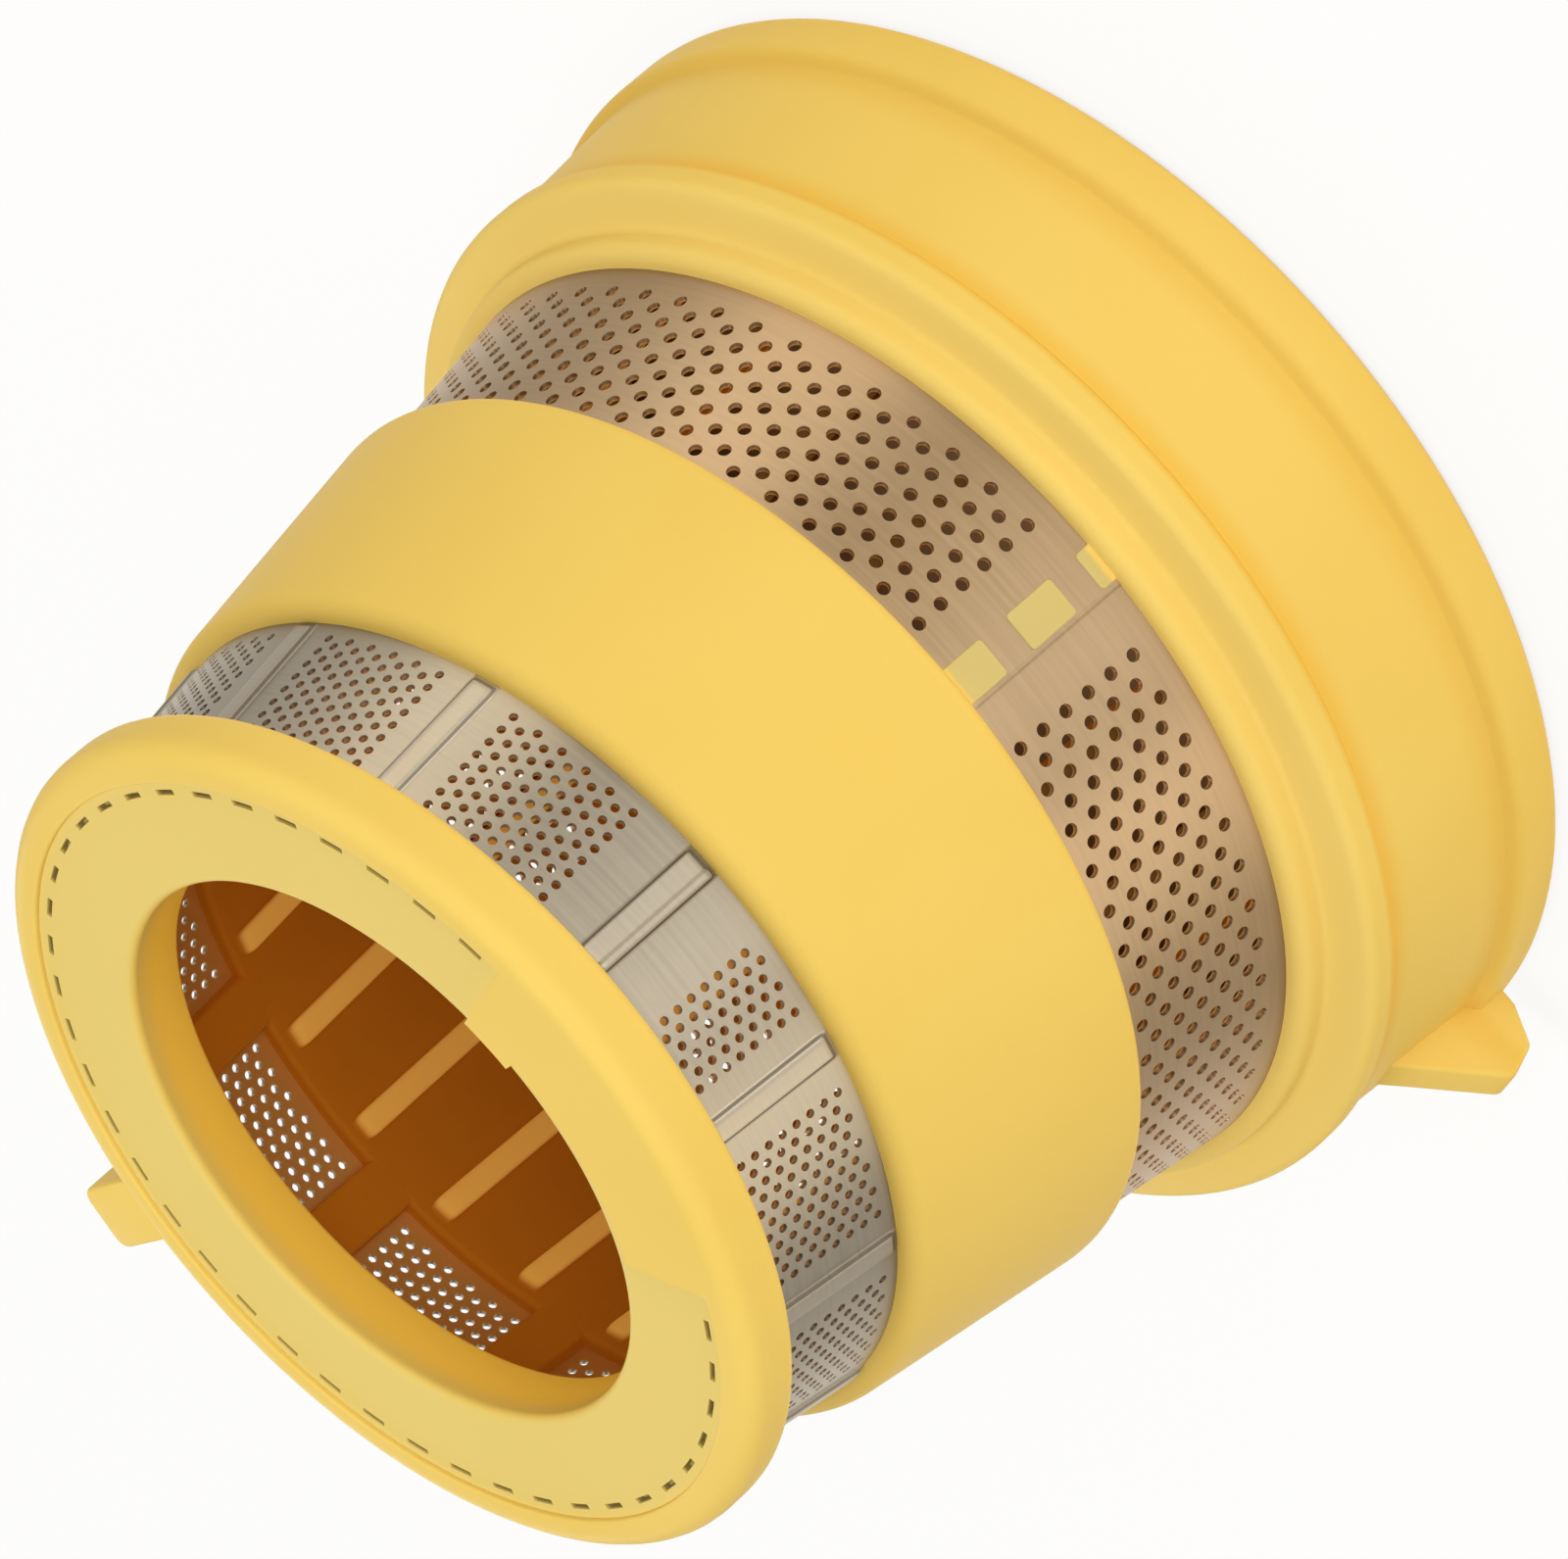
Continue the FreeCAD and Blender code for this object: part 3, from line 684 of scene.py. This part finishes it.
# Painted glow: the inner walls, rib crests and hole's wall glow as painted light, with no lamp there.
through = blend(tree, crest, WALL_GLOW, RIB_GLOW)
through = blend(tree, inside * (1 - shade), NO_GLOW, through)
through = blend(tree, hole, through, HOLE_GLOW)
tree.links.new(through.socket, skin.inputs["Emission Color"])
skin.inputs["Emission Strength"].default_value = 1.0
skin.inputs["Specular IOR Level"].default_value = 0.03
plastic.cycles.emission_sampling = "NONE"
moulding.data.materials.append(plastic)
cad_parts["frame"].data.materials.clear()
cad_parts["frame"].data.materials.append(plastic)
print("plastic:", len(tree.nodes), "nodes")

# %% [markdown]
# ## Perforated steel sheet
# The steel comes from rolling and is lightly polished, so its grain runs round the cone. A picture of brushed
# metal could be wrapped round it, but noise that is squeezed along the height needs no unwrapping and gives
# streaks in the roughness, the tone and the bump. Broad bands of lighter and darker tone round the cone are a
# painted sheen, the pressed ridges have painted shade on their flanks and a painted highlight on top, and the
# inner face is painted orange, a painted reflection of the amber inside. Both sheets share one recipe, and the
# coarse one is warmer; the warm tint of both is partly painted reflection of the yellow plastic.


# %% Steel
# Painted sheen: the number of broad light and dark bands round the cone, and the angle of a bright one.
PAINTED_SHEEN_BANDS, PAINTED_SHEEN_AT = 6, math.radians(246)
# Painted shade for the ridges' flanks, and a painted reflection of the amber inside for the inner face.
FLANK_PAINTED_SHADE, INNER_PAINTED_REFLECTION = (0.08, 0.065, 0.045, 1), (0.82, 0.43, 0.10, 1)


def steel(name, dark, light):
    """Brushed metal between two tones. A noise squeezed along the height drives tone, roughness and bump, and
    half of the tone is a painted sheen in broad bands, 0.5 + 0.5 cos (band count x angle from a bright band).
    Pressed ridges get painted shade on their flanks and a painted highlight on top, and the inner face is
    duller and painted orange, a painted reflection of the orange inside."""
    material, tree, skin = new_material(name)
    streak = noise(tree, 60.0, 2.0, (1, 1, 40))
    patch = noise(tree, 120.0, 1.0)
    x, y, z = object_place(tree)
    depth, angle = on_strainer(x, y, z)[1], y.maths("ARCTAN2", y, x)
    # Painted sheen: broad light and dark bands of tone round the cone.
    painted_sheen = 0.5 + 0.5 * angle.maths("COSINE", (angle - PAINTED_SHEEN_AT) * PAINTED_SHEEN_BANDS, 0.0)
    colour = blend(tree, streak * 0.35 + patch * 0.15 + painted_sheen * 0.5, dark, light)
    # Painted shade on the ridges' flanks and a painted highlight on their tops.
    painted_flank_shade = zone(tree, depth, -0.34, -0.27, -0.13, -0.04)
    colour = blend(tree, painted_flank_shade * 0.6, colour, FLANK_PAINTED_SHADE)
    painted_ridge_highlight = 1 - step(tree, depth, -0.34, -0.29)
    colour = blend(tree, painted_ridge_highlight * 0.2, colour, light)
    # The inner face is painted orange, a painted reflection of the amber inside.
    within = step(tree, depth, 0.25, 0.45)
    colour = blend(tree, within, colour, INNER_PAINTED_REFLECTION)
    tree.links.new(colour.socket, skin.inputs["Base Color"])
    tree.links.new((0.32 + streak * 0.18).socket, skin.inputs["Roughness"])
    tree.links.new((0.9 - within * 0.75).socket, skin.inputs["Metallic"])
    skin.inputs["Anisotropic"].default_value = 0.7
    skin.inputs["Anisotropic Rotation"].default_value = 0.25
    relief = add_node(tree, "ShaderNodeBump", None, {"Strength": 0.06, "Distance": 0.0002, "Height": streak})
    tree.links.new(relief.socket, skin.inputs["Normal"])
    print(name, len(tree.nodes), "nodes")
    return material


# The warm tint of both tones is partly painted reflection of the yellow plastic, most of all on the coarse
# sheet.
fine_steel = steel("fine_screen_steel", (0.22, 0.19, 0.145, 1), (0.66, 0.57, 0.43, 1))
coarse_steel = steel("coarse_screen_steel", (0.26, 0.175, 0.085, 1), (0.71, 0.50, 0.30, 1))
for sheet, node, material in ((fine, "fine_screen", fine_steel), (coarse, "coarse_screen", coarse_steel)):
    sheet.data.materials.append(material)
    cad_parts[node].data.materials.clear()
    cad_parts[node].data.materials.append(material)

# %% [markdown]
# ## Stage, light and camera
# The strainer stands on a white floor that keeps a faint shadow. Inside the mouth the floor is dark, as the
# shade in there is. The floor's white is for the eye and for mirrors alone and adds no light elsewhere, so it
# isn't sampled as a lamp. Large soft lamps hang above and stand in front and behind, a low strip in front
# gives the steel its sheen, and two warm low lamps fill the sides. One strong lamp would be simpler, but its
# hard shadows would hide the holes. The camera looks down at the foot from far away with a long lens, and is
# rolled, so that the axis runs from the lower left to the upper right of the picture.

# %% Floor and world
FLOOR_HALF, FLOOR_DROP, WHITENESS = 3.0, 0.0002, 0.89
SHADED_FLOOR, PALE_FLOOR = (0.19, 0.115, 0.045, 1), (0.93, 0.89, 0.80, 1)
corners = FLOOR_HALF * np.array([(-1, -1, 0), (1, -1, 0), (1, 1, 0), (-1, 1, 0)])
floor_mesh = bpy.data.meshes.new("studio_floor")
floor_mesh.from_pydata(corners.tolist(), [], [(0, 1, 2, 3)])
floor = bpy.data.objects.new("studio_floor", floor_mesh)
bpy.context.scene.collection.objects.link(floor)
floor.location.z = -FLOOR_DROP
white, tree, skin = new_material("white_floor")
place = add_node(tree, "ShaderNodeTexCoord", out="Object")
away = add_node(tree, "ShaderNodeVectorMath", {"operation": "LENGTH"}, {0: place}, out="Value")
outside = step(tree, away, MOUTH_R + 0.4, LIP_R - 0.5)
tone = blend(tree, outside, SHADED_FLOOR, PALE_FLOOR)
tree.links.new(tone.socket, skin.inputs["Base Color"])
skin.inputs["Roughness"].default_value = 0.9
ray = add_node(tree, "ShaderNodeLightPath").socket.node
camera_ray, glossy_ray, clear_ray = (Wire(tree, ray.outputs[f"Is {kind} Ray"])
                                     for kind in ("Camera", "Glossy", "Transmission"))
seen = camera_ray + glossy_ray + clear_ray
glow = add_node(tree, "ShaderNodeEmission", None, {"Color": (1, 1, 1, 1), "Strength": 1.0})
mixed = add_node(tree, "ShaderNodeMixShader", None,
                 {0: seen * outside * WHITENESS, 1: Wire(tree, skin.outputs[0]), 2: glow})
tree.links.new(mixed.socket, tree.nodes["Material Output"].inputs["Surface"])
white.cycles.emission_sampling = "NONE"
floor_mesh.materials.append(white)

world = bpy.data.worlds.new("soft_studio")
bpy.context.scene.world = world
world.use_nodes = True
sky = world.node_tree.nodes["Background"]
sky.inputs["Color"].default_value = (1.0, 0.95, 0.84, 1)
sky.inputs["Strength"].default_value = 0.25
print("floor", 2 * FLOOR_HALF, "m wide")


# %% Lamps
MIDDLE, WHITE, WARM = (0, 0, 0.045), (1, 1, 1), (1.0, 0.88, 0.68)


def soft_lamp(name, at, size, power, colour):
    """Area lamp of a width and height at a place, turned to the strainer's middle."""
    lamp = bpy.data.lights.new(name, "AREA")
    lamp.shape, lamp.size, lamp.size_y = "RECTANGLE", *size
    lamp.energy, lamp.color = power, colour
    holder = bpy.data.objects.new(name, lamp)
    bpy.context.scene.collection.objects.link(holder)
    holder.location = at
    holder.visible_camera = False
    holder.rotation_euler = (Vector(MIDDLE) - Vector(at)).to_track_quat("-Z", "Y").to_euler()


soft_lamp("front_lamp", (0.0, -0.78, 0.45), (0.6, 0.6), 2.2, WHITE)
soft_lamp("strip_lamp", (0.0, -0.92, 0.16), (0.9, 0.28), 1.5, WHITE)
soft_lamp("top_lamp", (0.0, 0.1, 0.94), (0.5, 0.5), 4.9, WHITE)
soft_lamp("back_lamp", (0.0, 0.9, 0.18), (0.6, 0.3), 1.7, WHITE)
soft_lamp("left_lamp", (-0.8, -0.46, 0.15), (0.6, 0.25), 1.3, WARM)
soft_lamp("right_lamp", (0.8, -0.46, 0.15), (0.6, 0.25), 1.3, WARM)
print("lamps:", len(bpy.data.lights))

# %% Camera
WIDE, FOCAL_PX = 1600, 11000.0
ELEVATION, ROLL = math.radians(30.36), math.radians(228.33)
CAMERA_AT = Vector((0.000676, -0.753684, 0.476431))
lens = bpy.data.cameras.new("photo_camera")
lens.sensor_fit, lens.sensor_width = "HORIZONTAL", 36.0
lens.lens = FOCAL_PX / WIDE * lens.sensor_width
lens.clip_start, lens.clip_end = 0.01, 20.0
camera = bpy.data.objects.new("photo_camera", lens)
bpy.context.scene.collection.objects.link(camera)
upright = Matrix.Rotation(math.pi / 2 - ELEVATION, 4, "X")
camera.matrix_world = Matrix.Translation(CAMERA_AT) @ upright @ Matrix.Rotation(ROLL, 4, "Z")
bpy.context.scene.camera = camera
bpy.context.scene.view_settings.view_transform = "Standard"
print("lens", round(lens.lens, 1), "mm")
